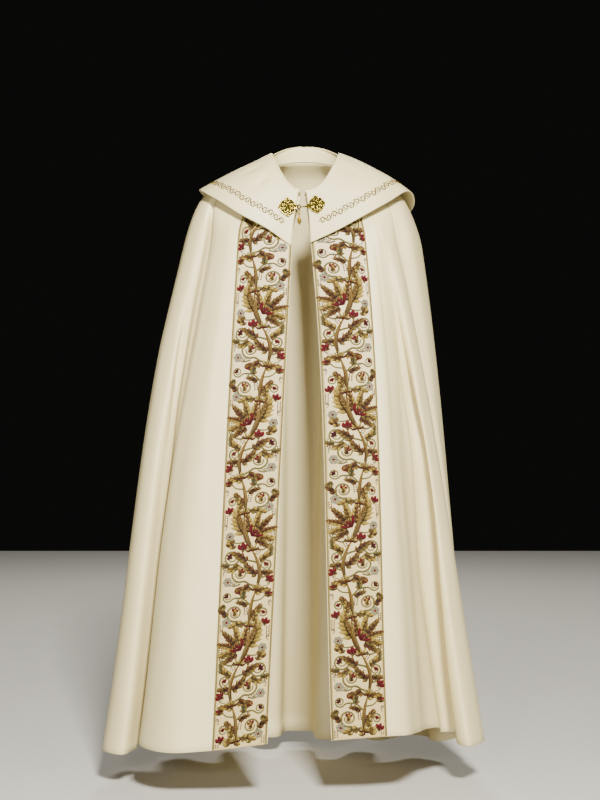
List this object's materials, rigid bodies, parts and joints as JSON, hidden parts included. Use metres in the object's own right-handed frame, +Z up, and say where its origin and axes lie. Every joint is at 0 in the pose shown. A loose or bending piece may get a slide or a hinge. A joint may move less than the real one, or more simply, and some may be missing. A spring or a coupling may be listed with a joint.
{
  "type": "cope vestment",
  "caption": "Worn open-fronted cloak of ivory cloth with a wide cape collar, embroidered front bands edged in gold braid, and a hook-and-eye clasp with a hanging pendant.",
  "frame": {"origin": "middle of the neck, level with the tops of the shoulders, where the wearer holds the cope up", "axes": "+X to the right of someone facing the cope, +Y towards its back, +Z up"},
  "size_m": [0.9191, 0.6646, 1.5076],
  "materials": {
    "ivory_cloth": "woven, soft sheen",
    "orphrey_satin": "satin with embroidery",
    "gold_braid": "flat metallic braid",
    "cast_gold": "cast and gilded, dark in the recesses"
  },
  "bodies": {
    "cope": {"body_cloth": "ivory_cloth", "collar": "ivory_cloth", "orphrey_left": "orphrey_satin", "orphrey_right": "orphrey_satin", "braid_inner_left": "gold_braid", "braid_outer_left": "gold_braid", "braid_inner_right": "gold_braid", "braid_outer_right": "gold_braid", "clasp_plate_left": "cast_gold", "clasp_plate_right": "cast_gold", "clasp_eye": "cast_gold", "clasp_hook": "cast_gold", "pendant_loop": "cast_gold"},
    "pendant": {"pendant_ring": "cast_gold", "pendant_drop": "cast_gold"}
  },
  "joints": [
    {"name": "pendant_swing", "type": "hinge", "parent": "cope", "child": "pendant", "pos_m": [-0.0138, -0.1203, -0.1215], "axis": [0, 1, 0], "range_deg": [-35, 35]}
  ]
}
